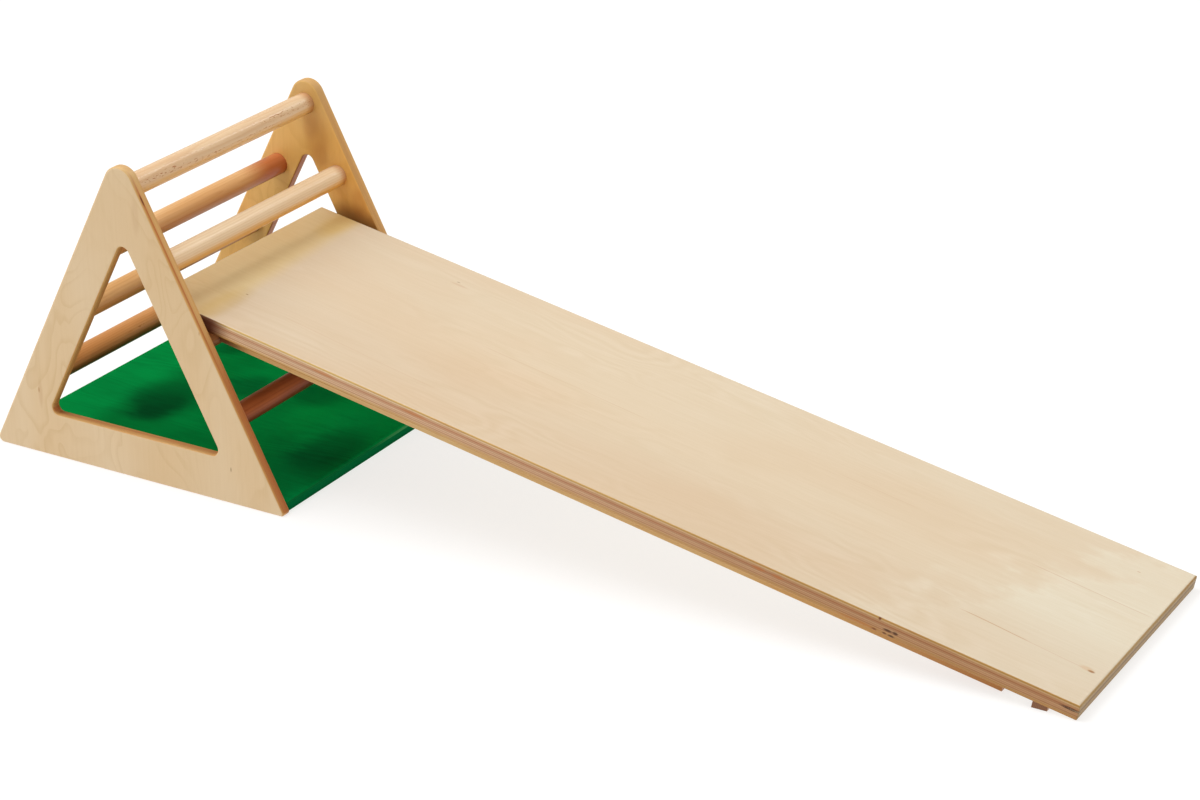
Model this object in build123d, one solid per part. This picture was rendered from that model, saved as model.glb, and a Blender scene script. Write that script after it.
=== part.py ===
from build123d import *
import math
import os

os.makedirs("parts", exist_ok=True)

# ---------------------------------------------------------------- dimensions
# Toddler climbing triangle with a removable slide board, in millimetres.
# Frame: X runs down the slide towards its foot, Y across the object, Z up.
# Origin: centre of the base panel's underside, on the floor.

# frame
overall_width = 486.0          # outer face to outer face of the side panels
panel_thickness = 18.0         # birch plywood
half_base = 272.0              # sharp-cornered half length of a panel at the floor
sharp_height = 526.0           # height where the two slopes would meet
apex_radius = 26.5
rear_foot_radius = 8.5
front_foot_radius = 4.5
cutout_inset = 65.0            # width of the sloping legs, square to the slope
cutout_bottom = 71.5           # height of the bottom rail
cutout_radius = 11.0
outer_round = 3.5              # roundover of the outer contour
cutout_round = 3.0             # roundover of the cut-out

# rungs
rung_diameter = 34.5
rung_pitch = 123.5             # along the slope
top_rung_height = 457.5
rung_socket_depth = 11.0       # blind socket in each side panel
rung_socket_clearance = 0.05
pivot_clearance = 0.1          # radial clearance of the middle front rung
rung_end_round = 1.0

# base panel
base_half_length = 264.0
base_thickness = 18.0
base_top_round = 5.0
base_bottom_round = 2.0
dowel_diameter = 8.0
dowel_in_base = 28.0
dowel_in_panel = 12.0
dowel_x = (-190.0, 0.0, 190.0)
dowel_clearance = 0.05

# slide board
deck_length = 1500.0
deck_width = 430.0
deck_thickness = 24.0          # 17-ply birch
deck_edge_round = 4.0
deck_corner_round = 2.0
deck_under_round = 4.0
deck_overhang = 91.1           # top end to the foot of the perpendicular from the rung
deck_gap = 0.3                 # underside of the deck over the rung
foot_trim = 1.0                # depth of the flat cut where the foot meets the floor
split_length = 21.5            # open split between two plies at the foot's right corner
split_height = 1.8
split_depth = 4.0
split_n = -9.6                 # its middle, below the deck's top face

# strips under the slide board
batten_thickness = 18.0
batten_width = 32.0
batten_near_face = 196.0       # from the centre line to the outer face
batten_end_u = 1388.0          # lower end, along the deck from its top end
batten_gap = 3.0               # upper end to the downhill side of the rung
batten_round = 2.0
hook_width = 30.0
hook_thickness = 18.0
hook_gap = 0.4                 # hook cleat to the uphill side of the rung
foot_cleat_u0 = 1436.0
foot_cleat_width = 22.0
foot_cleat_half = 211.0

# screws
screw_shank = 4.0
screw_head = 8.0
screw_head_height = 2.6
screw_clearance = 0.05
batten_screw_length = 35.0
foot_screw_length = 22.0

# ------------------------------------------------------------------- derived
inner = overall_width / 2 - panel_thickness
hyp = math.hypot(half_base, sharp_height)
rung_r = rung_diameter / 2


def rung_centre(i, side):
    """Axis of the i-th rung down one slope; side is +1 front, -1 rear."""
    return (
        side * i * rung_pitch * half_base / hyp,
        top_rung_height - i * rung_pitch * sharp_height / hyp,
    )


px, pz = rung_centre(2, 1)     # the rung that carries the slide board
under = rung_r + deck_gap      # rung axis to the deck's underside
reach = deck_length - deck_overhang
angle = math.asin((pz + foot_trim) / math.hypot(reach, under)) + math.atan(under / reach)
ca, sa = math.cos(angle), math.sin(angle)
deck_x = px - deck_overhang * ca + (under + deck_thickness) * sa
deck_z = pz + deck_overhang * sa + (under + deck_thickness) * ca

# deck frame: local x down the slope, local y across, local z square to the deck
deck_place = Pos(deck_x, 0, deck_z) * Rot(0, math.degrees(angle), 0)

print("slide angle", round(math.degrees(angle), 3), "deck top end", round(deck_x, 3), round(deck_z, 3))
print("pivot axis", round(px, 3), round(pz, 3))


def save(part, name):
    part.label = name
    export_step(part, f"parts/{name}.step")


def nearest(vertices, x, y):
    return min(vertices, key=lambda v: math.hypot(v.X - x, v.Y - y))


def box(x0, x1, y0, y1, z0, z1):
    return Pos((x0 + x1) / 2, (y0 + y1) / 2, (z0 + z1) / 2) * Box(x1 - x0, y1 - y0, z1 - z0)


def rod(radius, y0, y1, x, z):
    """Cylinder along Y."""
    return Pos(x, (y0 + y1) / 2, z) * Rot(90, 0, 0) * Cylinder(radius, abs(y1 - y0))


# --------------------------------------------------------------- side panels
def outline():
    f = make_face(Polyline((-half_base, 0), (half_base, 0), (0, sharp_height), close=True))
    f = fillet(nearest(f.vertices(), 0, sharp_height), apex_radius)
    for s, r in ((-1, rear_foot_radius), (1, front_foot_radius)):
        f = fillet(nearest(f.vertices(), s * half_base, 0), r)
    return f


def cutout():
    shift = cutout_inset * hyp / sharp_height
    half = half_base * (1 - cutout_bottom / sharp_height) - shift
    top = sharp_height * (1 - shift / half_base)
    f = make_face(Polyline((-half, cutout_bottom), (half, cutout_bottom), (0, top), close=True))
    return fillet(f.vertices(), cutout_radius)


def side_panel(side):
    """side -1 near, +1 far; the sockets open on the inner face."""
    blank = extrude(outline(), amount=panel_thickness)
    blank = fillet(blank.faces().sort_by(Axis.Z)[0].edges() + blank.faces().sort_by(Axis.Z)[-1].edges(), outer_round)
    window = extrude(cutout(), amount=panel_thickness)
    panel = blank - window
    rim = [
        e
        for f in (panel.faces().sort_by(Axis.Z)[0], panel.faces().sort_by(Axis.Z)[-1])
        for w in f.inner_wires()
        for e in w.edges()
    ]
    panel = fillet(rim, cutout_round)
    panel = Rot(90, 0, 0) * panel                     # now y runs from -thickness to 0
    panel = Pos(0, -inner if side < 0 else inner + panel_thickness, 0) * panel
    a, b = side * inner, side * (inner + rung_socket_depth)
    for i, s in [(0, 1)] + [(i, s) for i in (1, 2, 3) for s in (1, -1)]:
        x, z = rung_centre(i, s)
        r = rung_r + (pivot_clearance if (i, s) == (2, 1) else rung_socket_clearance)
        panel -= rod(r, a - side * 1.0, b, x, z)
    for x in dowel_x:
        panel -= rod(dowel_diameter / 2 + dowel_clearance, a - side * 1.0, side * (inner + dowel_in_panel), x, base_thickness / 2)
    return panel


save(side_panel(-1), "side_panel_right")
save(side_panel(1), "side_panel_left")

# --------------------------------------------------------------------- rungs
def rung(i, side, end_gap=0.0):
    x, z = rung_centre(i, side)
    reach_y = inner + rung_socket_depth - end_gap
    r = rod(rung_r, -reach_y, reach_y, x, z)
    return fillet(r.edges().filter_by(GeomType.CIRCLE), rung_end_round)


save(rung(0, 1), "top_rung")
for i, level in ((1, "upper"), (2, "middle"), (3, "lower")):
    save(rung(i, 1, 0.3 if i == 2 else 0.0), f"front_rung_{level}")
    save(rung(i, -1), f"rear_rung_{level}")

# ---------------------------------------------------------------- base panel
base = box(-base_half_length, base_half_length, -inner, inner, 0, base_thickness)
long_edges = base.edges().filter_by(Axis.Y)
base = fillet(long_edges.sort_by(Axis.Z)[2:], base_top_round)
base = fillet(base.edges().filter_by(Axis.Y).sort_by(Axis.Z)[:2], base_bottom_round)
dowels = []
for side in (-1, 1):
    for x in dowel_x:
        a, b = side * (inner - dowel_in_base), side * (inner + dowel_in_panel)
        base -= rod(dowel_diameter / 2 + dowel_clearance, a, side * (inner + 1.0), x, base_thickness / 2)
        pin = rod(dowel_diameter / 2, a, b, x, base_thickness / 2)
        dowels.append(fillet(pin.edges().filter_by(GeomType.CIRCLE), 0.8))
save(base, "base_panel")
save(Compound(children=[Part() + d for d in dowels]), "base_dowels")

# ------------------------------------------------------- screws, deck frame
def screw(length):
    """Countersunk wood screw, head at z = 0 facing down, shank going up."""
    k = screw_head_height
    profile = make_face(
        Polyline(
            (0, 0), (screw_head / 2, 0), (screw_head / 2, 0.3), (screw_shank / 2, k),
            (screw_shank / 2, length - 5.0), (0, length), close=True,
        )
    )
    body = revolve(Plane.XZ * profile, Axis.Z)
    cross = Box(4.4, 0.9, 1.6) + Box(0.9, 4.4, 1.6)
    return body - Pos(0, 0, 0.8) * cross


def screw_hole(length):
    c = screw_clearance
    k = screw_head_height
    profile = make_face(
        Polyline(
            (0, -2.0), (screw_head / 2 + c, -2.0), (screw_head / 2 + c, 0.3), (screw_shank / 2 + c, k),
            (screw_shank / 2 + c, length - 5.0), (0, length + c), close=True,
        )
    )
    return revolve(Plane.XZ * profile, Axis.Z)


n_under = -deck_thickness
n_batten = -deck_thickness - batten_thickness
n_hook = -deck_thickness - hook_thickness
batten_u0 = deck_overhang + rung_r + batten_gap
batten_mid = batten_near_face - batten_width / 2
batten_screw_u = [batten_u0 + 45 + k * (batten_end_u - batten_u0 - 90) / 5 for k in range(6)]
hook_u1 = deck_overhang - rung_r - hook_gap
hook_u0 = hook_u1 - hook_width
hook_screw_y = (-150.0, 0.0, 150.0)
foot_u1 = foot_cleat_u0 + foot_cleat_width
foot_mid = foot_cleat_u0 + foot_cleat_width / 2 - 1.0
foot_screw_y = (-160.0, 0.0, 160.0)
# depth of the foot cleat's underside below the deck frame's plane, under its screws
floor_n = (-deck_z + foot_mid * sa) / ca

floor_block = Pos(700, 0, -50) * Box(3000, 1000, 100)


def in_deck(shape):
    return deck_place * shape


# foot cleat screws stand square to the floor face of the wedge, so they follow world Z
def foot_screw_place(y):
    x = deck_x + foot_mid * ca + floor_n * sa
    return Pos(x, y, 0)


# ---------------------------------------------------------------- slide deck
# The rounded side profile, end profile and plan meet in one board, mitred at its corners.
deck_box = (0, deck_length, -deck_width / 2, deck_width / 2, -deck_thickness, 0)


def eased(axis):
    b = box(*deck_box)
    e = b.edges().filter_by(axis)
    b = fillet([x for x in e if x.center().Z > -1], deck_edge_round)
    return fillet([x for x in b.edges().filter_by(axis) if x.center().Z < 1 - deck_thickness], deck_under_round)


plan = fillet(box(*deck_box).edges().filter_by(Axis.Z), deck_corner_round)
deck = eased(Axis.X) & eased(Axis.Y) & plan
split = make_face(
    Polyline(
        (deck_length - split_length, split_n), (deck_length + 1, split_n + split_height / 2),
        (deck_length + 1, split_n - split_height / 2), close=True,
    )
)
split = Rot(90, 0, 0) * extrude(split, amount=split_depth + 1)
deck -= Pos(0, -deck_width / 2 + split_depth, 0) * split
for s in (-1, 1):
    for u in batten_screw_u:
        deck -= Pos(u, s * batten_mid, n_batten) * screw_hole(batten_screw_length)
for y in hook_screw_y:
    deck -= Pos((hook_u0 + hook_u1) / 2, y, n_hook) * screw_hole(batten_screw_length)
deck = in_deck(deck) - floor_block
for y in foot_screw_y:
    deck -= foot_screw_place(y) * screw_hole(foot_screw_length)
save(deck, "slide_deck")


# -------------------------------------------------------------------- strips
def batten(side):
    y0, y1 = sorted((side * batten_near_face, side * (batten_near_face - batten_width)))
    b = box(batten_u0, batten_end_u, y0, y1, n_batten, n_under)
    low = [e for e in b.edges().filter_by(Axis.X) if e.center().Z < n_batten + 1]
    b = fillet(low, batten_round)
    for u in batten_screw_u:
        b -= Pos(u, side * batten_mid, n_batten) * screw_hole(batten_screw_length)
    return in_deck(b)


save(batten(-1), "deck_batten_right")
save(batten(1), "deck_batten_left")

hook = box(hook_u0, hook_u1, -batten_near_face, batten_near_face, n_hook, n_under)
hook = fillet([e for e in hook.edges().filter_by(Axis.Y) if e.center().Z < n_hook + 1], 2.0)
for y in hook_screw_y:
    hook -= Pos((hook_u0 + hook_u1) / 2, y, n_hook) * screw_hole(batten_screw_length)
save(in_deck(hook), "hook_cleat")

foot = box(foot_cleat_u0, foot_u1, -foot_cleat_half, foot_cleat_half, n_under - 16.0, n_under)
foot = in_deck(foot) - floor_block
for y in foot_screw_y:
    foot -= foot_screw_place(y) * screw_hole(foot_screw_length)
save(foot, "foot_cleat")

# -------------------------------------------------------------------- screws
for side, name in ((-1, "batten_screws_right"), (1, "batten_screws_left")):
    group = [
        in_deck(Pos(u, side * batten_mid, n_batten) * screw(batten_screw_length))
        for u in batten_screw_u
    ]
    save(Compound(children=[Part() + s for s in group]), name)
group = [
    in_deck(Pos((hook_u0 + hook_u1) / 2, y, n_hook) * screw(batten_screw_length))
    for y in hook_screw_y
]
save(Compound(children=[Part() + s for s in group]), "hook_cleat_screws")
group = [foot_screw_place(y) * screw(foot_screw_length) for y in foot_screw_y]
save(Compound(children=[Part() + s for s in group]), "foot_cleat_screws")
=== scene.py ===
import bpy
import math
from mathutils import Matrix, Vector

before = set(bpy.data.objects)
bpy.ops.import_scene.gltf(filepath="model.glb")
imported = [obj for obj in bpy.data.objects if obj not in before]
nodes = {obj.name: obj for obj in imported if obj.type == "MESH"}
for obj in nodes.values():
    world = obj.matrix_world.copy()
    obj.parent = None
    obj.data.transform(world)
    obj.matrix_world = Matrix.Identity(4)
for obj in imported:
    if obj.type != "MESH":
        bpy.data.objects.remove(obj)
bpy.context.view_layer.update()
scene = bpy.context.scene

# ------------------------------------------------------------------ dimensions (metres)
PANEL_OUT = 0.243
PANEL_T = 0.018
BASE_T = 0.018
DECK_T = 0.024
SLOPE = math.radians(10.483618)
DECK_X, DECK_Z = 0.031436, 0.295531
RUNG = {
    "top_rung": (0.0, 0.4575),
    "front_rung_upper": (0.0567274, 0.3477993), "rear_rung_upper": (-0.0567274, 0.3477993),
    "front_rung_middle": (0.1134548, 0.2380985), "rear_rung_middle": (-0.1134548, 0.2380985),
    "front_rung_lower": (0.1701821, 0.1283978), "rear_rung_lower": (-0.1701821, 0.1283978),
}


# ------------------------------------------------------------------ node helpers
class Tree:
    """Builds one procedural material."""

    def __init__(self, name):
        self.mat = bpy.data.materials.new(name)
        self.mat.use_nodes = True
        self.t = self.mat.node_tree
        self.t.nodes.clear()
        self.out = self.t.nodes.new("ShaderNodeOutputMaterial")
        self.bsdf = self.t.nodes.new("ShaderNodeBsdfPrincipled")
        self.t.links.new(self.bsdf.outputs[0], self.out.inputs["Surface"])
        self.tc = self.t.nodes.new("ShaderNodeTexCoord")

    def put(self, socket, value):
        if isinstance(value, bpy.types.NodeSocket):
            self.t.links.new(value, socket)
        elif value is not None:
            if socket.type == "RGBA" and len(value) == 3:
                value = (*value, 1.0)
            socket.default_value = value

    def m(self, op, a, b=None, c=None, clamp=False):
        n = self.t.nodes.new("ShaderNodeMath")
        n.operation = op
        n.use_clamp = clamp
        for s, v in zip(n.inputs, (a, b, c)):
            self.put(s, v)
        return n.outputs[0]

    def v(self, op, a, b=None, scale=None):
        n = self.t.nodes.new("ShaderNodeVectorMath")
        n.operation = op
        self.put(n.inputs[0], a)
        if b is not None:
            self.put(n.inputs[1], b)
        if scale is not None:
            self.put(n.inputs["Scale"], scale)
        return n.outputs["Value"] if op in ("DOT_PRODUCT", "LENGTH", "DISTANCE") else n.outputs["Vector"]

    def split(self, vec):
        n = self.t.nodes.new("ShaderNodeSeparateXYZ")
        self.put(n.inputs[0], vec)
        return n.outputs[0], n.outputs[1], n.outputs[2]

    def join(self, x, y, z):
        n = self.t.nodes.new("ShaderNodeCombineXYZ")
        for s, v in zip(n.inputs, (x, y, z)):
            self.put(s, v)
        return n.outputs[0]

    def noise(self, vec, scale=1.0, detail=2.0, rough=0.5, lac=2.0, dist=0.0):
        n = self.t.nodes.new("ShaderNodeTexNoise")
        n.noise_dimensions = "3D"
        self.put(n.inputs["Vector"], vec)
        for k, v in (("Scale", scale), ("Detail", detail), ("Roughness", rough), ("Lacunarity", lac), ("Distortion", dist)):
            n.inputs[k].default_value = v
        return n.outputs["Fac"]

    def voronoi(self, vec, scale=1.0, rand=1.0):
        n = self.t.nodes.new("ShaderNodeTexVoronoi")
        self.put(n.inputs["Vector"], vec)
        n.inputs["Scale"].default_value = scale
        n.inputs["Randomness"].default_value = rand
        return n.outputs["Distance"]

    def ramp(self, fac, *stops, ease="LINEAR"):
        n = self.t.nodes.new("ShaderNodeValToRGB")
        n.color_ramp.interpolation = ease
        e = n.color_ramp.elements
        while len(e) > 1:
            e.remove(e[-1])
        e[0].position, e[0].color = stops[0][0], self.col(stops[0][1])
        for p, c in stops[1:]:
            x = e.new(p)
            x.color = self.col(c)
        self.put(n.inputs[0], fac)
        return n.outputs["Color"]

    @staticmethod
    def col(c):
        return (c, c, c, 1.0) if isinstance(c, (int, float)) else (*c, 1.0)

    def step(self, x, lo, hi):
        """0 below lo, 1 above hi, smooth between."""
        n = self.t.nodes.new("ShaderNodeMapRange")
        n.interpolation_type = "SMOOTHSTEP"
        self.put(n.inputs["Value"], x)
        n.inputs["From Min"].default_value = lo
        n.inputs["From Max"].default_value = hi
        n.inputs["To Min"].default_value = 0.0
        n.inputs["To Max"].default_value = 1.0
        return n.outputs["Result"]

    def mix(self, fac, a, b, kind="MIX"):
        n = self.t.nodes.new("ShaderNodeMix")
        n.data_type = "RGBA"
        n.blend_type = kind
        self.put(n.inputs["Factor"], fac)
        self.put(n.inputs["A"] if "A" in n.inputs else n.inputs[6], None)
        self.put([s for s in n.inputs if s.name == "A" and s.type == "RGBA"][0], a)
        self.put([s for s in n.inputs if s.name == "B" and s.type == "RGBA"][0], b)
        return [s for s in n.outputs if s.type == "RGBA"][0]

    def fmix(self, fac, a, b):
        n = self.t.nodes.new("ShaderNodeMix")
        n.data_type = "FLOAT"
        self.put([s for s in n.inputs if s.name == "Factor" and s.type == "VALUE"][0], fac)
        self.put([s for s in n.inputs if s.name == "A" and s.type == "VALUE"][0], a)
        self.put([s for s in n.inputs if s.name == "B" and s.type == "VALUE"][0], b)
        return [s for s in n.outputs if s.type == "VALUE"][0]

    def bump(self, height, distance, strength=1.0):
        n = self.t.nodes.new("ShaderNodeBump")
        n.inputs["Strength"].default_value = strength
        n.inputs["Distance"].default_value = distance
        self.put(n.inputs["Height"], height)
        self.t.links.new(n.outputs[0], self.bsdf.inputs["Normal"])
        return n

    def set(self, **kw):
        names = {"rough": "Roughness", "spec": "Specular IOR Level", "coat": "Coat Weight", "coat_rough": "Coat Roughness",
                 "coat_ior": "Coat IOR", "metal": "Metallic", "ior": "IOR", "base": "Base Color"}
        for k, v in kw.items():
            self.put(self.bsdf.inputs[names[k]], v)


def srgb(r, g, b):
    f = lambda c: c / 12.92 if c <= 0.04045 else ((c + 0.055) / 1.055) ** 2.4
    return tuple(f(x / 255.0) for x in (r, g, b))


def local_axes(t, kind):
    """Object-space point and normal as (along the face grain, across it, out of the show face)."""
    p, n = t.tc.outputs["Object"], t.tc.outputs["Normal"]
    px, py, pz = t.split(p)
    nx, ny, nz = t.split(n)
    if kind == "near":
        return (pz, px, t.m("MULTIPLY", t.m("ADD", py, PANEL_OUT), -1.0)), (nz, nx, t.m("MULTIPLY", ny, -1.0))
    if kind == "far":
        return (pz, px, t.m("SUBTRACT", py, PANEL_OUT)), (nz, nx, ny)
    if kind == "base":
        return (px, py, t.m("SUBTRACT", pz, BASE_T)), (nx, ny, nz)
    c, s = math.cos(SLOPE), math.sin(SLOPE)

    def turn(x, z, ox, oz):
        x = t.m("SUBTRACT", x, ox)
        z = t.m("SUBTRACT", z, oz)
        return (
            t.m("SUBTRACT", t.m("MULTIPLY", x, c), t.m("MULTIPLY", z, s)),
            t.m("ADD", t.m("MULTIPLY", x, s), t.m("MULTIPLY", z, c)),
        )

    u, w = turn(px, pz, DECK_X, DECK_Z)
    nu, nw = turn(nx, nz, 0.0, 0.0)
    return (u, py, w), (nu, ny, nw)


def veneer(t, g, c, seed, pale, warm, amount=1.0, figure_amount=0.030, pitch=0.017, contour=0.0):
    """Rotary-cut birch: soft tonal drift, wandering contour figure, fine fibres and small flecks."""
    drift = t.noise(t.join(t.m("MULTIPLY", g, 1.9), t.m("MULTIPLY", c, 5.0), seed), 1.0, 2.0, 0.5)
    base = t.mix(t.step(drift, 0.32, 0.70), pale, warm)
    warp = t.noise(t.join(t.m("MULTIPLY", g, 4.2), t.m("MULTIPLY", c, 13.0), seed + 3.3), 1.0, 2.0, 0.45, dist=0.5)
    phase = t.m("ADD", t.m("DIVIDE", c, pitch), t.m("MULTIPLY", warp, 9.0))
    figure = t.m("SINE", t.m("MULTIPLY", phase, 2 * math.pi))
    figure = t.m("ADD", figure, t.m("MULTIPLY", t.m("SINE", t.m("MULTIPLY", phase, 5.1)), 0.6))
    band = t.noise(t.join(t.m("MULTIPLY", g, 3.0), t.m("MULTIPLY", c, 9.0), seed + 9.1), 1.0, 1.0, 0.5)
    figure = t.m("MULTIPLY", figure, t.step(band, 0.36, 0.68))
    if contour:
        # growth rings cut at a shallow angle: nested loops with one sharp side and one soft side
        field = t.noise(t.join(t.m("MULTIPLY", g, 5.2), t.m("MULTIPLY", c, 10.5), seed + 3.3), 1.0, 1.6, 0.5, dist=0.7)
        saw = t.m("FRACT", t.m("ADD", t.m("MULTIPLY", field, contour), t.m("MULTIPLY", c, 6.0)))
        ring = t.m("MULTIPLY", t.m("SUBTRACT", 1.0, t.step(saw, 0.04, 0.50)), t.step(saw, 0.0, 0.08))
        figure = t.m("MULTIPLY", t.m("SUBTRACT", 0.28, ring), t.m("ADD", 0.35, t.m("MULTIPLY", t.step(band, 0.36, 0.62), 1.65)))
    fibre = t.noise(t.join(t.m("MULTIPLY", g, 26.0), t.m("MULTIPLY", c, 620.0), seed + 5.7), 1.0, 2.0, 0.6)
    line = t.noise(t.join(t.m("MULTIPLY", g, 6.0), t.m("MULTIPLY", c, 210.0), seed + 7.9), 1.0, 2.0, 0.55)
    fleck = t.step(t.noise(t.join(t.m("MULTIPLY", g, 210.0), t.m("MULTIPLY", c, 1300.0), seed + 1.9), 1.0, 1.0, 0.5), 0.66, 0.76)
    shade = t.m("ADD", t.m("MULTIPLY", figure, figure_amount), t.m("MULTIPLY", t.m("SUBTRACT", fibre, 0.5), 0.075 * amount))
    shade = t.m("ADD", shade, t.m("MULTIPLY", t.m("SUBTRACT", line, 0.5), 0.10 * amount))
    shade = t.m("SUBTRACT", shade, t.m("MULTIPLY", fleck, 0.05 * amount))
    light = t.m("ADD", 1.0, t.m("MULTIPLY", shade, 0.7))
    mid = t.m("ADD", 1.0, shade)
    tint = t.m("ADD", 1.0, t.m("MULTIPLY", shade, 1.7))
    return t.mix(1.0, base, t.join(light, mid, tint), "MULTIPLY"), figure, fibre


def spot(t, g, c, at, size, tail=1.0):
    """Mask of a small elongated mark centred at (g, c)."""
    a = t.m("DIVIDE", t.m("SUBTRACT", g, at[0]), size[0] * tail)
    b = t.m("DIVIDE", t.m("SUBTRACT", c, at[1]), size[1])
    d = t.m("SQRT", t.m("ADD", t.m("MULTIPLY", a, a), t.m("MULTIPLY", b, b)))
    return t.m("SUBTRACT", 1.0, t.step(d, 0.35, 1.0))


def streak(t, g, c, start, stop, width, wave=0.0015):
    """A thin wandering line from start to stop, both (along, across)."""
    slope = (stop[1] - start[1]) / (stop[0] - start[0])
    bend = t.noise(t.join(t.m("MULTIPLY", g, 14.0), start[1], 0.3), 1.0, 1.0, 0.4)
    path = t.m("ADD", start[1], t.m("MULTIPLY", t.m("SUBTRACT", g, start[0]), slope))
    path = t.m("ADD", path, t.m("MULTIPLY", t.m("SUBTRACT", bend, 0.5), wave * 2))
    off = t.m("ABSOLUTE", t.m("SUBTRACT", c, path))
    line = t.m("SUBTRACT", 1.0, t.step(off, 0.0, width))
    ends = t.m("MULTIPLY", t.step(g, start[0], start[0] + 0.03), t.m("SUBTRACT", 1.0, t.step(g, stop[0] - 0.02, stop[0])))
    return t.m("MULTIPLY", line, ends)


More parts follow.
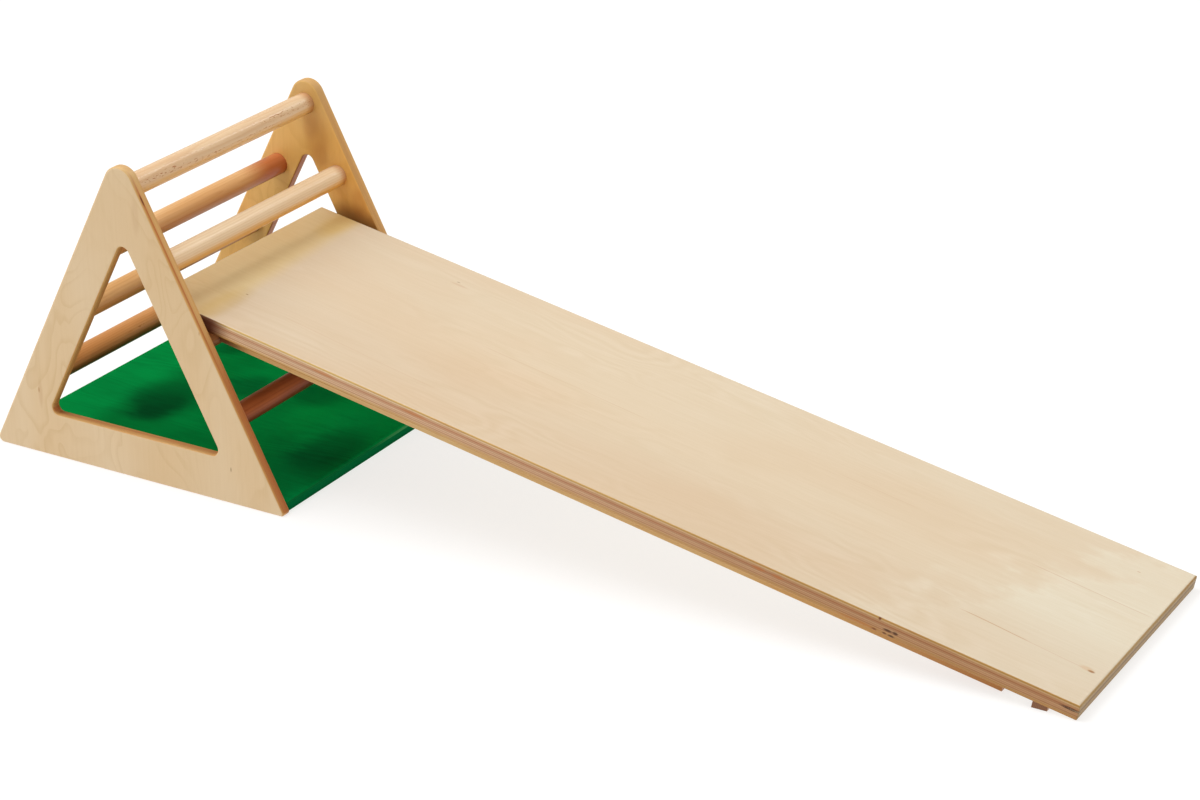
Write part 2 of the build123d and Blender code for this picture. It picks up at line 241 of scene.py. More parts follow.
def plywood(name, kind, thick, plies, pale, warm, profile, seed, end_profile=None, marks=(), streaks=(), edge_marks=(),
            inner_shaded_colours=None, inner_shadow_marks=(), drift=None, inner_shade_drift=None, edge_drift=None, stain=None, rough=0.45, coat=0.10, spec=0.25,
            skin=0.0005, figure_amount=0.030, pitch=0.017, ply_depth=0.10, flame=None, flame_amount=0.5, amount=1.0, contour=0.0):
    """Solid plywood: the colour depends on the depth in the board, so every face, edge and roundover shows its plies."""
    t = Tree(name)
    (g, c, d), (ng, nc, nd) = local_axes(t, kind)
    deep = t.m("MULTIPLY", d, -1.0)
    ply = thick / plies
    depth = t.m("DIVIDE", deep, ply)
    k = t.m("FLOOR", depth)
    odd = t.m("MODULO", t.m("ADD", k, 100.0), 2.0)
    inside = t.m("SUBTRACT", depth, k)
    flat = t.step(t.m("ABSOLUTE", nd), 0.90, 0.985)
    near_skin = t.m("SUBTRACT", 1.0, t.step(deep, skin * 0.7, skin * 1.5))
    far_skin = t.step(deep, thick - skin * 1.5, thick - skin * 0.7)
    face = t.m("MAXIMUM", t.m("MULTIPLY", t.m("MAXIMUM", near_skin, far_skin), t.step(t.m("ABSOLUTE", nd), 0.2, 0.5)), flat)
    colour, figure, fibre = veneer(t, g, c, seed, pale, warm, amount=amount, figure_amount=figure_amount, pitch=pitch, contour=contour)
    if drift:
        colour = drift(t, colour, g, c)
    # painted shade: the face turned into the frame gets a deeper, warmer colour than the outer face
    if inner_shaded_colours:
        back, _, _ = veneer(t, g, c, seed + 17.0, inner_shaded_colours[0], inner_shaded_colours[1], amount=amount * 1.2, figure_amount=figure_amount * 1.2, pitch=pitch,
                            contour=contour)
        if len(inner_shaded_colours) > 2:
            back = t.mix(t.step(g, inner_shaded_colours[2], inner_shaded_colours[3]), back, t.mix(0.35, inner_shaded_colours[4], back))
        # painted shadows: soft warm smears on the inner face
        for at, size, dark, power in inner_shadow_marks:
            back = t.mix(t.m("MULTIPLY", spot(t, g, c, at, size), power), back, dark)
        # painted shade laid over the inner face colour
        if inner_shade_drift:
            back = inner_shade_drift(t, back, g, c)
        colour = t.mix(t.step(deep, thick * 0.4, thick * 0.6), colour, back)
    # edge: the plies in order, thin glue lines, fibres along each ply and slow change along the edge
    long_c = t.ramp(t.m("DIVIDE", deep, thick), *[(x / (thick * 1000.0), col) for x, col in profile])
    if end_profile:
        end_c = t.ramp(t.m("DIVIDE", deep, thick), *[(x / (thick * 1000.0), col) for x, col in end_profile])
        edge = t.mix(t.step(t.m("ABSOLUTE", ng), 0.5, 0.8), long_c, end_c)
    else:
        edge = long_c
    ea = t.fmix(odd, g, c)
    eb = t.fmix(odd, c, g)
    en = t.noise(t.join(t.m("MULTIPLY", ea, 34.0), t.m("MULTIPLY", eb, 420.0), t.m("ADD", t.m("MULTIPLY", d, 900.0), t.m("MULTIPLY", k, 7.3))), 1.0, 2.0, 0.6)
    per = t.noise(t.join(t.m("MULTIPLY", k, 3.7), t.m("MULTIPLY", g, 6.0), t.m("MULTIPLY", c, 6.0)), 1.0, 2.0, 0.5)
    if flame:
        lick = t.noise(t.join(t.m("MULTIPLY", t.m("ADD", g, c), 11.0), t.m("MULTIPLY", deep, 330.0), seed), 1.0, 2.0, 0.55, dist=0.4)
        edge = t.mix(t.m("MULTIPLY", t.step(lick, 0.50, 0.66), flame_amount), edge, flame)
    shade = t.m("SUBTRACT", 1.0, t.m("MULTIPLY", odd, ply_depth))
    shade = t.m("ADD", shade, t.m("MULTIPLY", t.m("SUBTRACT", en, 0.5), 0.16))
    shade = t.m("ADD", shade, t.m("MULTIPLY", t.m("SUBTRACT", per, 0.5), 0.24))
    seam = t.m("MINIMUM", inside, t.m("SUBTRACT", 1.0, inside))
    seam = t.m("SUBTRACT", 1.0, t.step(seam, 0.03, 0.15))
    shade = t.m("SUBTRACT", shade, t.m("MULTIPLY", seam, 0.16))
    low = t.m("SUBTRACT", t.m("MULTIPLY", shade, 1.5), 0.5)
    edge = t.mix(1.0, edge, t.join(shade, t.m("SUBTRACT", t.m("MULTIPLY", shade, 1.2), 0.2), low), "MULTIPLY")
    if edge_drift:
        edge = edge_drift(t, edge, g, c, deep, nc, ng)
    for at, size, dark, power in edge_marks:
        edge = t.mix(t.m("MULTIPLY", spot(t, g, deep, at, size), power), edge, dark)
    if stain:
        colour, edge = stain(t, colour, edge, g, c, deep, figure, fibre, seam)
    col = t.mix(face, edge, colour)
    for at, size, dark, power in marks:
        col = t.mix(t.m("MULTIPLY", t.m("MULTIPLY", spot(t, g, c, at, size), near_skin), power), col, dark)
    for start, stop, width, dark, power in streaks:
        col = t.mix(t.m("MULTIPLY", t.m("MULTIPLY", streak(t, g, c, start, stop, width), near_skin), power), col, dark)
    gloss = t.m("ADD", rough, t.m("MULTIPLY", t.m("SUBTRACT", fibre, 0.5), 0.12))
    gloss = t.m("ADD", gloss, t.m("MULTIPLY", t.m("SUBTRACT", 1.0, face), 0.08))
    t.set(base=col, rough=gloss, spec=spec, coat=coat, coat_rough=0.2, coat_ior=1.45)
    height = t.m("ADD", t.m("MULTIPLY", fibre, 0.5), t.m("MULTIPLY", t.m("MULTIPLY", en, 0.8), t.m("SUBTRACT", 1.0, face)))
    height = t.m("SUBTRACT", height, t.m("MULTIPLY", t.m("MULTIPLY", seam, t.m("SUBTRACT", 1.0, face)), 1.2))
    t.bump(height, 0.00012, 0.45)
    return t.mat


def solid_wood(name, centre, seed, pale, warm, late, fleck_c, fleck=0.5, axis="y", rough=0.36, coat=0.25, ring=0.0036, turn=0.0,
               end_c=None, underside_shade=None, underside_shade_amount=0.6, underside_shade_range=(-0.75, 0.35), tip=None, head_shade=None, patch=0.55, sector=None, spec=0.35,
               coat_rough=0.18):
    """Solid timber along one axis: growth rings about a pith outside the piece, pores and ray flecks."""
    t = Tree(name)
    p, n = t.tc.outputs["Object"], t.tc.outputs["Normal"]
    if axis in ("deck_u", "deck_y"):
        (u, y, w), (nu, ny, nw) = local_axes(t, "deck")
        g, a, b, ng, up = (u, y, w, nu, nw) if axis == "deck_u" else (y, u, w, ny, nw)
    else:
        px, py, pz = t.split(p)
        nx, ny, nz = t.split(n)
        g, a, b, ng, up = py, px, pz, ny, nz
    a0 = t.m("SUBTRACT", a, centre[0])
    b0 = t.m("SUBTRACT", b, centre[1])
    ct, st = math.cos(turn), math.sin(turn)
    a1 = t.m("ADD", t.m("MULTIPLY", a0, ct), t.m("MULTIPLY", b0, st))
    b1 = t.m("SUBTRACT", t.m("MULTIPLY", b0, ct), t.m("MULTIPLY", a0, st))
    wob = t.noise(t.join(t.m("MULTIPLY", g, 4.0), t.m("MULTIPLY", a1, 14.0), t.m("ADD", t.m("MULTIPLY", b1, 14.0), seed)), 1.0, 2.0, 0.5)
    aa = t.m("ADD", a1, 0.052)
    r = t.m("SQRT", t.m("ADD", t.m("MULTIPLY", aa, aa), t.m("MULTIPLY", b1, b1)))
    r = t.m("ADD", r, t.m("MULTIPLY", t.m("SUBTRACT", wob, 0.5), 0.010))
    ph = t.m("FRACT", t.m("DIVIDE", r, ring))
    rings = t.m("MULTIPLY", t.step(ph, 0.35, 0.88), t.m("SUBTRACT", 1.0, t.step(ph, 0.92, 1.0)))
    tone = t.noise(t.join(t.m("MULTIPLY", g, 3.0), t.m("MULTIPLY", a1, 30.0), t.m("ADD", t.m("MULTIPLY", b1, 30.0), seed + 4.0)), 1.0, 2.0, 0.55)
    col = t.mix(t.step(tone, 0.3, 0.7), pale, warm)
    col = t.mix(t.m("MULTIPLY", rings, 0.26), col, late)
    fine = t.noise(t.join(t.m("MULTIPLY", g, 30.0), t.m("MULTIPLY", a1, 900.0), t.m("ADD", t.m("MULTIPLY", b1, 900.0), seed)), 1.0, 2.0, 0.6)
    col = t.mix(t.m("MULTIPLY", t.step(fine, 0.45, 0.75), 0.16), col, late)
    f1 = t.noise(t.join(t.m("MULTIPLY", g, 150.0), t.m("MULTIPLY", a1, 620.0), t.m("ADD", t.m("MULTIPLY", b1, 620.0), seed + 2.0)), 1.0, 1.0, 0.4, dist=0.3)
    f2 = t.noise(t.join(t.m("MULTIPLY", g, 5.0), t.m("MULTIPLY", a1, 60.0), t.m("ADD", t.m("MULTIPLY", b1, 60.0), seed + 6.0)), 1.0, 1.0, 0.5)
    zone = t.step(f2, patch, patch + 0.12)
    flecks = t.m("MULTIPLY", t.step(f1, 0.60, 0.68), zone)
    if sector is not None:
        # ray flecks only show where the surface is cut on the quarter
        sx = t.m("ADD", t.m("MULTIPLY", t.m("SUBTRACT", a, centre[0]), math.cos(sector) / 0.0172), t.m("MULTIPLY", t.m("SUBTRACT", b, centre[1]), math.sin(sector) / 0.0172))
        flecks = t.m("MULTIPLY", flecks, t.step(sx, 0.55, 0.85))
    col = t.mix(t.m("MULTIPLY", flecks, fleck), col, fleck_c)
    # painted shade: a deeper, warmer colour on the underside
    if underside_shade is not None:
        col = t.mix(t.m("MULTIPLY", t.m("SUBTRACT", 1.0, t.step(up, *underside_shade_range)), underside_shade_amount), col, underside_shade)
    # the colour darkens towards one end; on the rungs this is painted shade
    if tip is not None:
        colour, y0, y1, power = tip
        col = t.mix(t.m("MULTIPLY", t.step(g, y0, y1), power), col, colour)
    # painted shade: darker colour at the upper end
    if head_shade is not None:
        colour, y0, y1, power = head_shade
        col = t.mix(t.m("MULTIPLY", t.m("SUBTRACT", 1.0, t.step(g, y0, y1)), power), col, colour)
    ending = t.step(t.m("ABSOLUTE", ng), 0.6, 0.9)
    if end_c is not None:
        pores = t.noise(t.join(t.m("MULTIPLY", a1, 1500.0), t.m("MULTIPLY", b1, 1500.0), seed), 1.0, 2.0, 0.6)
        ec = t.mix(t.m("MULTIPLY", t.step(pores, 0.4, 0.7), 0.5), end_c, tuple(x * 0.5 for x in end_c))
        ec = t.mix(t.m("MULTIPLY", rings, 0.5), ec, tuple(x * 0.45 for x in end_c))
        col = t.mix(ending, col, ec)
    gl = t.m("ADD", rough, t.m("MULTIPLY", t.m("SUBTRACT", fine, 0.5), 0.12))
    t.set(base=col, rough=gl, spec=spec, coat=coat, coat_rough=coat_rough, coat_ior=1.45)
    h = t.m("SUBTRACT", t.m("MULTIPLY", fine, 0.5), t.m("MULTIPLY", flecks, 0.4))
    t.bump(h, 0.0001, 0.4)
    return t.mat


def green_stain(t, colour, edge, g, c, deep, figure, fibre, seam):
    """Green stain: the wood's figure shows through, with darker clouds where the open grain took more; the soft dark
    blotches are painted shadows of the rungs and board, the pale patch is painted light.
    """
    drift = t.noise(t.join(t.m("MULTIPLY", g, 5.0), t.m("MULTIPLY", c, 11.0), 7.7), 1.0, 3.0, 0.55)
    cloud = t.noise(t.join(t.m("MULTIPLY", g, 12.0), t.m("MULTIPLY", c, 34.0), 2.2), 1.0, 3.0, 0.6)
    a = t.mix(t.step(drift, 0.3, 0.72), srgb(0, 132, 60), srgb(0, 120, 54))
    # painted light: a paler green patch where the deck's shadow falls
    painted_light_patch = spot(t, g, c, (0.190, 0.090), (0.150, 0.190))
    a = t.mix(t.m("MULTIPLY", painted_light_patch, 0.8), a, srgb(0, 156, 68))
    a = t.mix(t.m("MULTIPLY", t.step(cloud, 0.45, 0.8), 0.35), a, srgb(0, 100, 46))
    # painted shadows: soft dark blotches where the rungs and the board throw shadows on the base
    for at, size in (((-0.112, -0.044), (0.052, 0.072)), ((-0.104, -0.070), (0.040, 0.046)), ((-0.120, -0.020), (0.085, 0.110)), ((-0.034, 0.086), (0.050, 0.062)),
                     ((0.214, -0.048), (0.062, 0.120)), ((0.080, 0.120), (0.070, 0.060)), ((-0.160, 0.200), (0.050, 0.040))):
        rough_edge = t.m("MULTIPLY", t.m("SUBTRACT", cloud, 0.5), 0.05)
        a = t.mix(t.m("MULTIPLY", spot(t, t.m("ADD", g, rough_edge), t.m("ADD", c, rough_edge), at, size), 0.47), a, srgb(0, 62, 31))
    streaky = t.m("ADD", t.m("MULTIPLY", t.m("SUBTRACT", fibre, 0.5), 0.35), t.m("MULTIPLY", figure, 0.06))
    k = t.m("ADD", 1.0, streaky)
    a = t.mix(1.0, a, t.join(k, k, k), "MULTIPLY")
    e = t.ramp(t.m("DIVIDE", deep, BASE_T), (0.0, srgb(0, 132, 58)), (0.06, srgb(0, 118, 54)), (0.09, srgb(8, 88, 40)),
               (0.12, srgb(20, 128, 62)), (0.17, srgb(10, 116, 54)), (0.20, srgb(0, 84, 38)), (0.24, srgb(18, 126, 60)), (0.29, srgb(0, 100, 48)), (0.50, srgb(0, 104, 50)), (0.80, srgb(0, 92, 46)), (1.0, srgb(0, 84, 42)))
    e = t.mix(t.m("MULTIPLY", seam, 0.35), e, srgb(14, 74, 34))
    # painted highlight: a light green line on the front top roundover, towards the far side
    painted_edge_highlight = t.m("MULTIPLY", t.step(c, -0.02, 0.10), t.m("SUBTRACT", 1.0, t.step(deep, 0.0045, 0.0065)))
    e = t.mix(t.m("MULTIPLY", painted_edge_highlight, 0.45), e, srgb(96, 182, 104))
    # painted light: face and edge turn bluer towards the front end, standing in for cooler light there
    painted_cool_light = t.step(g, 0.10, 0.22)
    a = t.mix(painted_cool_light, a, t.mix(1.0, a, (1.0, 1.12, 1.42), "MULTIPLY"))
    return a, t.mix(t.step(g, 0.10, 0.22), e, t.mix(1.0, e, (1.0, 1.05, 1.30), "MULTIPLY"))


def deck_drift(t, colour, g, c):
    """The long sheet runs from a pinkish middle to a paler, yellower foot and far edge, with painted sheen at the foot
    and a painted golden shadow of the upper front rung across its top end.
    """
    haze = t.noise(t.join(t.m("MULTIPLY", g, 2.6), t.m("MULTIPLY", c, 5.5), 4.4), 1.0, 2.0, 0.55)
    far = t.m("ADD", t.m("MULTIPLY", t.m("SUBTRACT", haze, 0.5), 0.5), t.m("ADD", t.m("MULTIPLY", g, 0.75), t.m("MULTIPLY", c, 1.1)))
    colour = t.mix(t.m("MULTIPLY", t.step(far, 0.25, 1.15), 0.8), colour, t.mix(1.0, colour, (1.03, 1.10, 1.17), "MULTIPLY"))
    near = t.step(t.m("MULTIPLY", c, -1.0), 0.0, 0.13)
    colour = t.mix(t.m("MULTIPLY", near, 0.9), colour, t.mix(1.0, colour, (0.965, 0.95, 0.945), "MULTIPLY"))
    colour = t.mix(t.step(t.m("MULTIPLY", g, -1.0), -0.55, -0.10), colour, t.mix(1.0, colour, (0.965, 0.985, 1.01), "MULTIPLY"))
    # painted sheen: pale cream patches at the foot, with a ragged front that crosses the board on the slant
    blot = t.noise(t.join(t.m("MULTIPLY", g, 11.0), t.m("MULTIPLY", c, 19.0), 6.6), 1.0, 3.0, 0.6)
    front = t.m("SUBTRACT", t.m("SUBTRACT", g, 1.285), t.m("MULTIPLY", c, 0.6))
    front = t.m("ADD", front, t.m("MULTIPLY", t.m("SUBTRACT", blot, 0.5), 0.42))
    painted_sheen = t.m("MULTIPLY", t.step(front, -0.04, 0.09), t.m("SUBTRACT", 1.0, t.m("MULTIPLY", near, 0.45)))
    colour = t.mix(painted_sheen, colour, t.mix(1.0, colour, (1.035, 1.095, 1.15), "MULTIPLY"))
    # painted sheen: a brighter broken crest along the front of the patches
    painted_sheen_crest = t.m("SUBTRACT", 1.0, t.step(t.m("ABSOLUTE", t.m("SUBTRACT", front, 0.05)), 0.0, 0.055))
    painted_sheen_crest = t.m("MULTIPLY", painted_sheen_crest, t.step(t.noise(t.join(t.m("MULTIPLY", g, 30.0), t.m("MULTIPLY", c, 48.0), 2.9), 1.0, 3.0, 0.6), 0.40, 0.66))
    colour = t.mix(t.m("MULTIPLY", painted_sheen_crest, 0.8), colour, t.mix(1.0, colour, (1.03, 1.055, 1.08), "MULTIPLY"))
    # painted shadow of the upper front rung: a golden band across the top end, slanted across the board
    limit = t.m("ADD", g, t.m("MULTIPLY", c, 0.055))
    painted_rung_shadow = t.m("SUBTRACT", 1.0, t.step(limit, 0.068, 0.100))
    colour = t.mix(painted_rung_shadow, colour, t.mix(1.0, colour, (1.07, 1.03, 0.78), "MULTIPLY"))
    # painted shade: a deeper golden patch of the shadow on the far side, by the left panel
    colour = t.mix(t.m("MULTIPLY", spot(t, g, c, (0.056, 0.190), (0.030, 0.085)), 0.8), colour, t.mix(1.0, colour, (1.0, 0.92, 0.68), "MULTIPLY"))
    # painted shadow: a darker patch of the rung's shadow on the near side
    return t.mix(t.m("MULTIPLY", spot(t, g, c, (0.088, -0.165), (0.028, 0.090)), 0.9), colour, t.mix(1.0, colour, (0.91, 0.86, 0.72), "MULTIPLY"))


def deck_edge(t, edge, g, c, deep, nc, ng):
    """The long edge is pale near its top end, browner towards the foot, and has painted dark shade where the top end
    runs in beside the side panel.
    """
    edge = t.mix(t.step(t.m("MULTIPLY", g, -1.0), -0.60, -0.20), edge, t.mix(1.0, edge, (1.05, 1.12, 1.16), "MULTIPLY"))
    low = t.m("MULTIPLY", t.step(deep, 0.0195, 0.0215), t.step(t.m("MULTIPLY", g, -1.0), -0.60, -0.20))
    edge = t.mix(low, edge, t.mix(1.0, edge, (0.84, 0.68, 0.50), "MULTIPLY"))
    edge = t.mix(t.step(g, 0.45, 1.30), edge, t.mix(1.0, edge, (0.77, 0.68, 0.54), "MULTIPLY"))
    # painted shade: dark red-brown contact shade on the edge beside the side panel
    return t.mix(t.m("MULTIPLY", t.step(t.m("MULTIPLY", g, -1.0), -0.145, -0.102), 0.92), edge, srgb(88, 34, 18))


def near_edge(t, edge, g, c, deep, nc, ng):
    """The front slope has one red-brown ply and a broad pale band above, and turns brown low down; the apex is pale."""
    front = t.m("MULTIPLY", t.step(nc, 0.45, 0.8), t.step(ng, 0.1, 0.3))
    band = t.ramp(t.m("DIVIDE", deep, PANEL_T), (0.0, srgb(222, 184, 128)), (0.10, srgb(214, 162, 96)), (0.17, srgb(180, 82, 36)), (0.30, srgb(182, 86, 38)),
                  (0.38, srgb(228, 184, 116)), (0.62, srgb(236, 198, 132)), (0.82, srgb(228, 184, 116)), (1.0, srgb(214, 160, 92)))
    brown = t.ramp(t.m("DIVIDE", deep, PANEL_T), (0.0, srgb(212, 160, 100)), (0.12, srgb(196, 124, 62)), (0.22, srgb(176, 88, 40)), (0.40, srgb(188, 106, 50)),
                   (0.70, srgb(182, 100, 46)), (1.0, srgb(172, 90, 40)))
    own = t.mix(t.step(g, 0.17, 0.29), brown, band)
    edge = t.mix(t.m("MULTIPLY", front, 0.82), edge, t.mix(0.30, own, edge, "MIX"))
    nick = t.m("MULTIPLY", spot(t, g, deep, (0.450, 0.0042), (0.0110, 0.0022)), front)
    edge = t.mix(t.m("MULTIPLY", nick, 0.8), edge, srgb(96, 34, 18))
    return t.mix(t.m("MULTIPLY", t.step(g, 0.452, 0.490), 0.65), edge, srgb(220, 188, 136))


def far_edge(t, edge, g, c, deep, nc, ng):
    edge = t.mix(0.45, edge, srgb(226, 182, 116))
    # painted shade: darker red-brown on the cut-out edges that face down into the opening
    inside = t.m("MULTIPLY", t.step(nc, 0.3, 0.6), t.step(t.m("MULTIPLY", ng, -1.0), 0.1, 0.3))
    edge = t.mix(t.m("MULTIPLY", inside, 0.8), edge, srgb(166, 84, 40))
    return t.mix(t.m("MULTIPLY", t.step(g, 0.44, 0.485), 0.6), edge, srgb(206, 166, 108))


def far_board_contact_shade(t, back, g, c):
    """Painted contact shade: the inner face is darker along the line where the board lies against the panel."""
    above = t.m("ADD", t.m("MULTIPLY", t.m("SUBTRACT", c, DECK_X), math.sin(SLOPE)), t.m("MULTIPLY", t.m("SUBTRACT", g, DECK_Z), math.cos(SLOPE)))
    dark = t.m("MULTIPLY", t.m("SUBTRACT", 1.0, t.step(above, 0.002, 0.028)), t.m("MULTIPLY", t.step(above, -0.03, -0.02), t.step(c, 0.045, 0.07)))
    return t.mix(t.m("MULTIPLY", dark, 0.62), back, srgb(150, 80, 36))


def flat_drift(t, colour, g, c):
    haze = t.noise(t.join(t.m("MULTIPLY", g, 6.0), t.m("MULTIPLY", c, 9.0), 8.8), 1.0, 2.0, 0.5)
    return t.mix(t.step(haze, 0.35, 0.7), colour, t.mix(1.0, colour, (0.985, 0.965, 0.93), "MULTIPLY"))


PALE = srgb(231, 207, 171)
WARM = srgb(226, 197, 154)
deck_pale = srgb(219, 201, 174)
deck_warm = srgb(217, 194, 164)
mark = srgb(128, 84, 40)
faint = srgb(190, 142, 96)
void = srgb(72, 38, 16)

deck_profile = [
    (0.0, srgb(224, 196, 158)), (0.5, srgb(212, 178, 116)), (0.9, srgb(208, 168, 98)), (1.9, srgb(208, 168, 98)), (2.3, srgb(228, 198, 154)),
    (3.1, srgb(232, 206, 166)), (3.8, srgb(226, 190, 150)), (5.2, srgb(224, 186, 150)), (6.2, srgb(212, 164, 126)), (7.4, srgb(206, 154, 116)),
    (8.6, srgb(202, 148, 114)), (9.6, srgb(206, 156, 122)), (10.6, srgb(216, 180, 146)), (12.0, srgb(222, 182, 148)), (13.4, srgb(224, 184, 150)),
    (14.8, srgb(220, 178, 144)), (16.2, srgb(210, 164, 126)), (17.2, srgb(212, 166, 126)), (18.2, srgb(222, 184, 140)), (19.4, srgb(222, 184, 134)),
    (20.4, srgb(214, 166, 104)), (22.4, srgb(214, 170, 108)), (24.0, srgb(216, 178, 120)),
]
deck_end = [
    (0.0, srgb(230, 212, 176)), (1.2, srgb(226, 204, 160)), (2.4, srgb(220, 196, 150)), (3.6, srgb(200, 176, 134)), (5.4, srgb(212, 190, 146)),
    (7.4, srgb(196, 172, 130)), (9.8, srgb(210, 188, 146)), (12.4, srgb(194, 170, 128)), (15.0, srgb(208, 186, 142)), (18.0, srgb(196, 172, 130)),
    (24.0, srgb(206, 184, 138)),
]
panel_profile = [
    (0.0, srgb(228, 196, 146)), (0.7, srgb(222, 180, 118)), (1.6, srgb(216, 168, 100)), (3.0, srgb(220, 174, 112)), (4.2, srgb(210, 160, 96)),
    (6.2, srgb(206, 154, 92)), (7.6, srgb(198, 142, 84)), (9.6, srgb(196, 138, 80)), (12.0, srgb(190, 130, 74)), (14.4, srgb(192, 132, 74)),
    (16.2, srgb(204, 148, 86)), (18.0, srgb(214, 162, 98)),
]

m_deck = plywood(
    "lacquered_birch_deck", "deck", DECK_T, 17, deck_pale, deck_warm, deck_profile, 1.0, end_profile=deck_end, drift=deck_drift,
    marks=[((1.4786, -0.1273), (0.0070, 0.0036), srgb(150, 98, 40), 0.95), ((1.4715, -0.1248), (0.014, 0.0070), srgb(206, 164, 116), 0.40),
           ((1.4323, 0.1596), (0.004, 0.0012), faint, 0.7), ((0.0952, -0.1130), (0.0035, 0.0018), mark, 0.6),
           ((0.2941, 0.1623), (0.004, 0.0016), mark, 0.55), ((0.300, 0.155), (0.020, 0.004), faint, 0.25)],
    streaks=[((1.272, -0.1146), (1.392, -0.1212), 0.0015, faint, 0.80), ((1.366, -0.1206), (1.476, -0.1268), 0.0010, faint, 0.40),
             ((1.296, 0.0654), (1.496, 0.060), 0.0011, faint, 0.50), ((0.42, 0.020), (0.72, 0.012), 0.0016, faint, 0.18),
             ((0.16, -0.128), (0.46, -0.142), 0.0016, faint, 0.18), ((0.98, 0.085), (1.13, 0.083), 0.0012, faint, 0.22)],
    edge_marks=[((1.2078, 0.0020), (0.0030, 0.0028), srgb(110, 50, 16), 0.9), ((1.2222, 0.0143), (0.0095, 0.0026), void, 0.88),
                ((1.2335, 0.0140), (0.0058, 0.0030), void, 0.88), ((1.2030, 0.0205), (0.0052, 0.0024), srgb(90, 42, 16), 0.9),
                ((1.2185, 0.0202), (0.0046, 0.0022), srgb(96, 46, 18), 0.8), ((1.2285, 0.0206), (0.0066, 0.0026), void, 0.85),
                ((1.178, 0.0200), (0.042, 0.0032), srgb(186, 116, 56), 0.62), ((1.024, 0.0078), (0.014, 0.0036), srgb(190, 116, 62), 0.70),
                ((1.054, 0.0078), (0.012, 0.0034), srgb(190, 116, 62), 0.65), ((0.305, 0.0068), (0.030, 0.0036), srgb(196, 126, 72), 0.62),
                ((0.462, 0.0068), (0.032, 0.0038), srgb(196, 124, 70), 0.66), ((1.4880, 0.0098), (0.0200, 0.0030), srgb(82, 46, 24), 0.88)],
    figure_amount=0.018, pitch=0.034, ply_depth=0.20, flame=srgb(196, 132, 84), flame_amount=0.22, edge_drift=deck_edge,
)
m_near = plywood(
    "lacquered_birch_side_right", "near", PANEL_T, 13, PALE, WARM, panel_profile, 21.0, drift=flat_drift,
    # painted shade: deeper, warmer colours for the inner face
    inner_shaded_colours=(srgb(228, 188, 130), srgb(214, 160, 92)),
    marks=[((0.0561, 0.1782), (0.0050, 0.0013), mark, 0.7), ((0.1057, -0.1785), (0.0060, 0.0020), faint, 0.7),
           ((0.2635, 0.1328), (0.0050, 0.0010), faint, 0.7), ((0.100, -0.176), (0.030, 0.006), faint, 0.22),
           ((0.425, 0.028), (0.040, 0.009), faint, 0.16)],
    amount=0.7, contour=10.0, figure_amount=0.042, pitch=0.021, flame=srgb(222, 156, 84), flame_amount=0.45, edge_drift=near_edge,
)
m_far = plywood(
    "lacquered_birch_side_left", "far", PANEL_T, 13, PALE, WARM, panel_profile, 33.0,
    # painted shade: deeper, warmer colours for the inner face, paler near the apex
    drift=flat_drift, inner_shaded_colours=(srgb(246, 206, 130), srgb(240, 184, 96), 0.385, 0.47, srgb(216, 178, 112)), inner_shade_drift=far_board_contact_shade,
    # painted shadows of the rung ends and beside the cut-out on the inner face
    inner_shadow_marks=[((0.404, 0.022), (0.056, 0.030), srgb(204, 142, 72), 0.36), ((0.375, 0.026), (0.030, 0.020), srgb(200, 132, 66), 0.30),
                 ((0.310, 0.098), (0.034, 0.022), srgb(204, 134, 68), 0.40), ((0.420, 0.008), (0.028, 0.020), srgb(212, 154, 82), 0.45)],
    amount=0.8, contour=10.0, figure_amount=0.034, pitch=0.019, flame=srgb(230, 170, 96), flame_amount=0.4, edge_drift=far_edge,
)
m_base = plywood(
    "green_stained_base", "base", BASE_T, 13, PALE, WARM, panel_profile, 45.0,
    stain=green_stain, rough=0.50, coat=0.0, spec=0.004, skin=0.0016,
)
fleck_c = srgb(172, 100, 52)
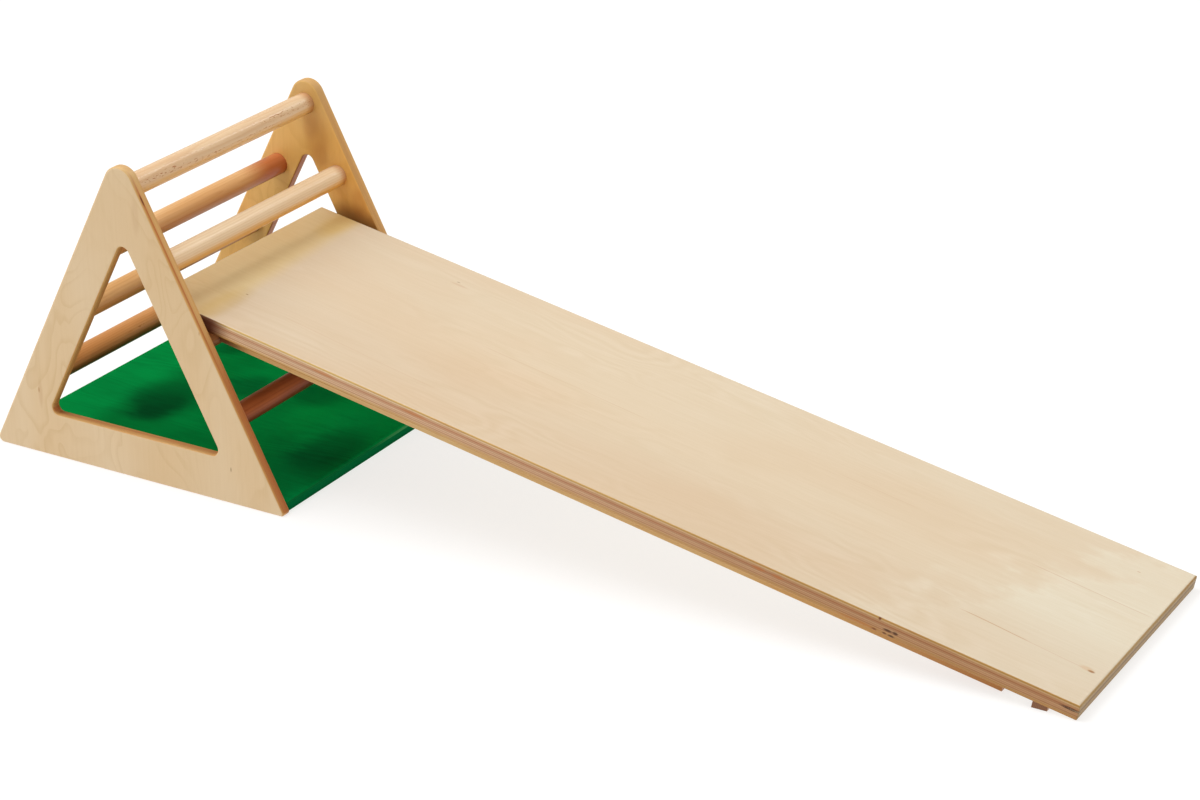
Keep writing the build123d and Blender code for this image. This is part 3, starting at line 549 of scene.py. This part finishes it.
# The colours deepen from the top rung down into the frame, and the two front rungs under the deck are dark throughout:
# these steps are painted shade, not a change in the beech.
rung_look = {
    #                                         pale                 warm                 late                 painted underside shade, amount, reach of the painted underside shade, painted far-end shade, flecks
    "top_rung":          (srgb(230, 202, 166), srgb(226, 192, 154), srgb(204, 154, 108), srgb(228, 176, 98), 0.85, (-0.65, 0.35),
                          (srgb(176, 112, 58), 0.203, 0.224, 0.65), 0.40, 0.0),
    "front_rung_upper":  (srgb(244, 222, 190), srgb(240, 210, 172), srgb(216, 168, 116), srgb(234, 170, 72), 0.92, (-0.60, 0.45),
                          (srgb(184, 116, 56), 0.206, 0.224, 0.6), 0.66, -0.2),
    "rear_rung_upper":   (srgb(236, 197, 146), srgb(229, 180, 124), srgb(206, 144, 84), srgb(196, 118, 54), 0.76, (-0.35, 0.62),
                          (srgb(178, 84, 34), 0.11, 0.19, 0.8), 0.62, 0.3),
    "front_rung_middle": (srgb(192, 134, 86), srgb(178, 118, 72), srgb(150, 92, 52), srgb(96, 44, 22), 0.90, (-0.75, 0.35), None, 0.66, 2.0),
    "rear_rung_middle":  (srgb(230, 187, 130), srgb(219, 169, 109), srgb(196, 134, 74), srgb(188, 114, 52), 0.76, (-0.35, 0.60),
                          (srgb(180, 100, 44), 0.10, 0.20, 0.5), 0.62, 0.4),
    "front_rung_lower":  (srgb(176, 98, 54), srgb(156, 80, 42), srgb(120, 56, 28), srgb(92, 40, 18), 0.90, (-0.60, 0.50),
                          (srgb(84, 34, 14), -0.15, 0.06, 0.85), 0.66, 2.0),
    "rear_rung_lower":   (srgb(217, 161, 102), srgb(203, 141, 82), srgb(180, 112, 54), srgb(88, 48, 22), 0.92, (-0.55, 0.50),
                          (srgb(160, 88, 40), 0.05, 0.20, 0.5), 0.62, 0.4),
}
for i, (name, centre) in enumerate(RUNG.items()):
    pale, warm, late, underside_shade, amount, reach, tip, patch, sector = rung_look[name]
    shade = name in ("front_rung_lower", "front_rung_middle")
    nodes[name].data.materials.clear()
    nodes[name].data.materials.append(
        solid_wood(f"lacquered_beech_{name}", centre, 3.0 + 2.7 * i, pale, warm, late, fleck_c, fleck=0.80, turn=0.9 + 1.37 * i,
                   end_c=srgb(190, 140, 96), underside_shade=underside_shade, underside_shade_amount=amount, underside_shade_range=reach, tip=tip, patch=patch, sector=sector,
                   coat=0.05 if shade else 0.20 if name.startswith("rear") else 0.42, spec=0.10, coat_rough=0.10)
    )
# the strip's dark upper end is painted shade under the deck's top end
strip = solid_wood("lacquered_strip", (0.0, 0.0), 61.0, srgb(226, 194, 138), srgb(212, 168, 106), srgb(200, 142, 74), srgb(190, 116, 54),
                   fleck=0.3, axis="deck_u", end_c=srgb(176, 112, 62), ring=0.006, coat=0.1, spec=0.2,
                   tip=(srgb(174, 108, 46), 1.05, 1.39, 0.85), head_shade=(srgb(96, 44, 18), 0.118, 0.175, 0.85))
cleat = solid_wood("lacquered_cleat", (1.446, -0.03), 71.0, srgb(196, 144, 88), srgb(178, 120, 68), srgb(130, 80, 42), srgb(120, 72, 38),
                   fleck=0.3, axis="deck_y", ring=0.0022, end_c=srgb(150, 98, 58))
hook = solid_wood("lacquered_hook", (0.06, -0.03), 77.0, srgb(222, 176, 116), srgb(206, 152, 88), srgb(178, 116, 60), srgb(160, 96, 48),
                  fleck=0.3, axis="deck_y", end_c=srgb(172, 124, 78))
pin = solid_wood("bare_dowel", (0.0, 0.009), 81.0, srgb(222, 190, 150), srgb(206, 168, 122), srgb(178, 130, 90), srgb(160, 100, 60),
                 coat=0.0, rough=0.6, end_c=srgb(180, 134, 90))


def steel():
    t = Tree("zinc_screw")
    p = t.tc.outputs["Object"]
    n1 = t.noise(t.v("SCALE", p, scale=900.0), 1.0, 3.0, 0.6)
    n2 = t.noise(t.v("SCALE", p, scale=160.0), 1.0, 2.0, 0.5)
    col = t.mix(n2, srgb(186, 184, 172), srgb(150, 150, 146))
    t.set(base=col, metal=1.0, rough=t.m("ADD", 0.22, t.m("MULTIPLY", n1, 0.2)))
    t.bump(n1, 0.00003, 0.4)
    return t.mat


m_steel = steel()


def wear(name, mat):
    nodes[name].data.materials.clear()
    nodes[name].data.materials.append(mat)


wear("slide_deck", m_deck)
wear("side_panel_right", m_near)
wear("side_panel_left", m_far)
wear("base_panel", m_base)
for n in ("deck_batten_left", "deck_batten_right"):
    wear(n, strip)
wear("hook_cleat", hook)
wear("foot_cleat", cleat)
wear("base_dowels", pin)
for n in ("batten_screws_left", "batten_screws_right", "hook_cleat_screws", "foot_cleat_screws"):
    wear(n, m_steel)

# ------------------------------------------------------------------ studio
bpy.ops.mesh.primitive_grid_add(x_subdivisions=8, y_subdivisions=8, size=24.0, location=(0, 0, 0))
floor = bpy.context.object
floor.name = "studio_floor"
ft = Tree("studio_floor")
fn = ft.noise(ft.tc.outputs["Object"], 2.0, 2.0, 0.5)
ft.set(base=ft.mix(fn, (0.30, 0.30, 0.30), (0.32, 0.32, 0.32)), rough=0.9, spec=0.0)
ft.bsdf.inputs["Emission Color"].default_value = (1.0, 1.0, 1.0, 1.0)
ft.bsdf.inputs["Emission Strength"].default_value = 0.73
floor.data.materials.append(ft.mat)

world = bpy.data.worlds.new("studio")
scene.world = world
world.use_nodes = True
bg = world.node_tree.nodes["Background"]
bg.inputs[0].default_value = (1.0, 0.88, 0.72, 1.0)
bg.inputs[1].default_value = 0.42


def area(name, where, target, size, watts, colour=(1, 1, 1)):
    d = bpy.data.lights.new(name, "AREA")
    d.shape = "RECTANGLE"
    d.size, d.size_y = size
    d.energy = watts
    d.color = colour
    o = bpy.data.objects.new(name, d)
    scene.collection.objects.link(o)
    o.location = where
    o.visible_camera = False
    o.rotation_mode = "QUATERNION"
    o.rotation_quaternion = (Vector(target) - Vector(where)).to_track_quat("-Z", "Y")
    return o


area("key_overhead", (-2.60, -1.00, 6.3), (0.4, 0.0, 0.2), (5.0, 5.0), 404, (0.97, 1.0, 1.05))
area("top_foot", (1.9, 0.4, 3.0), (1.3, 0.0, 0.0), (1.6, 1.6), 18)
area("strip_back", (1.36, 3.27, 3.13), (0.0, 0.0, 0.35), (0.45, 1.6), 14)

cam = bpy.data.cameras.new("view")
cam.sensor_fit = "HORIZONTAL"
cam.sensor_width = 36.0
cam.lens = 93.933313
cam.clip_start, cam.clip_end = 0.1, 60.0
co = bpy.data.objects.new("view", cam)
scene.collection.objects.link(co)
co.rotation_mode = "QUATERNION"
co.location = (2.7423254, -3.5784712, 2.0169261)
co.rotation_quaternion = Matrix((
    (0.86456717, -0.20447209, 0.45903679),
    (0.50251575, 0.34953986, -0.790759),
    (0.00123649, 0.91433749, 0.40495114),
)).to_quaternion()
scene.camera = co

scene.view_settings.view_transform = "Standard"
scene.view_settings.look = "None"
scene.view_settings.exposure = 0.0
scene.view_settings.gamma = 1.0
